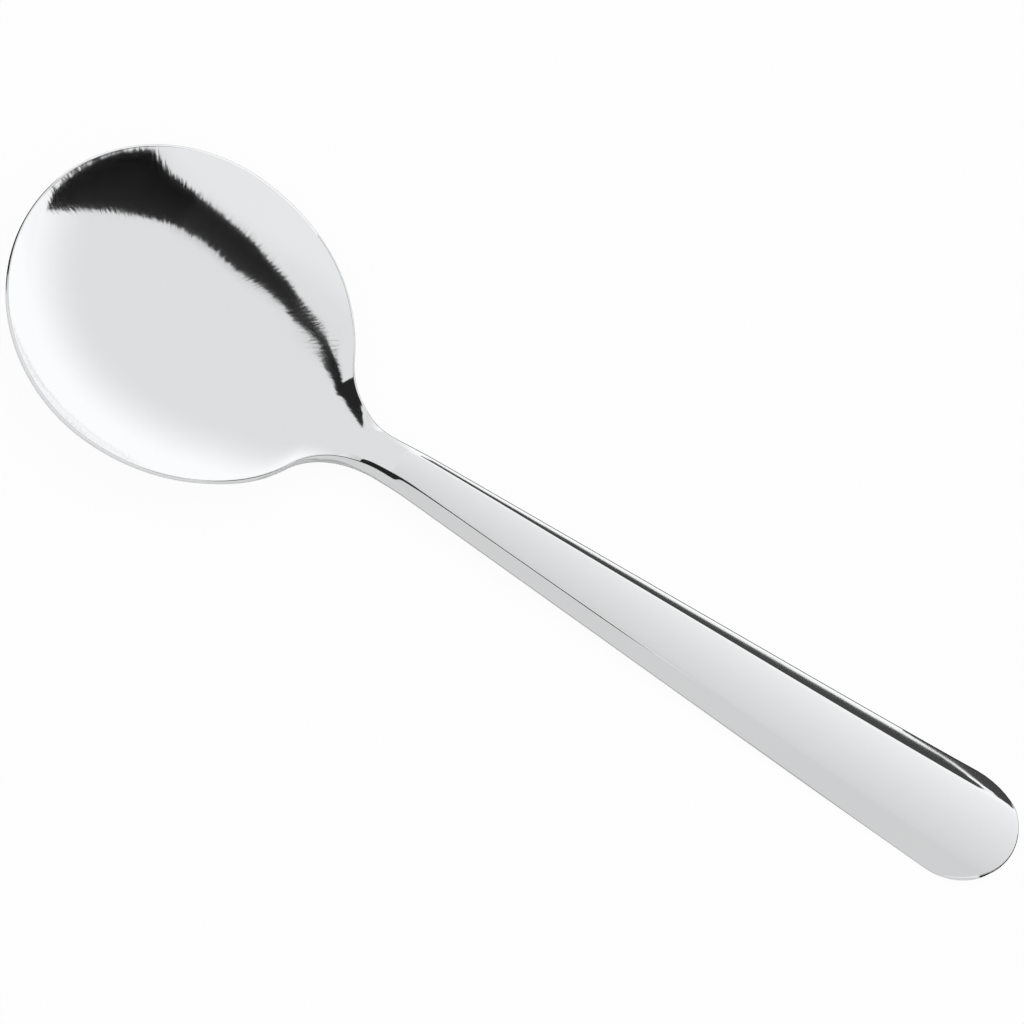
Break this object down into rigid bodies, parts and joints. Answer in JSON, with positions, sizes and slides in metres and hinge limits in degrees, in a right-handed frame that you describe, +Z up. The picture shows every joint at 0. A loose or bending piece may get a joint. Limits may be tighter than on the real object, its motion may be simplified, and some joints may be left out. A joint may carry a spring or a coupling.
{
  "type": "soup spoon",
  "caption": "One-piece polished steel soup spoon with a round dished bowl, a narrow neck and a plain widening handle with a rounded end.",
  "frame": {"origin": "on the table under the middle of the spoon's length and width, as it rests", "axes": "+X along the spoon from the bowl to the handle's end, +Z up out of the bowl"},
  "size_m": [0.15, 0.044, 0.0102],
  "materials": {
    "polished_steel": "polished"
  },
  "bodies": {
    "root": {"bowl": "polished_steel", "neck": "polished_steel", "handle": "polished_steel"}
  },
  "joints": []
}
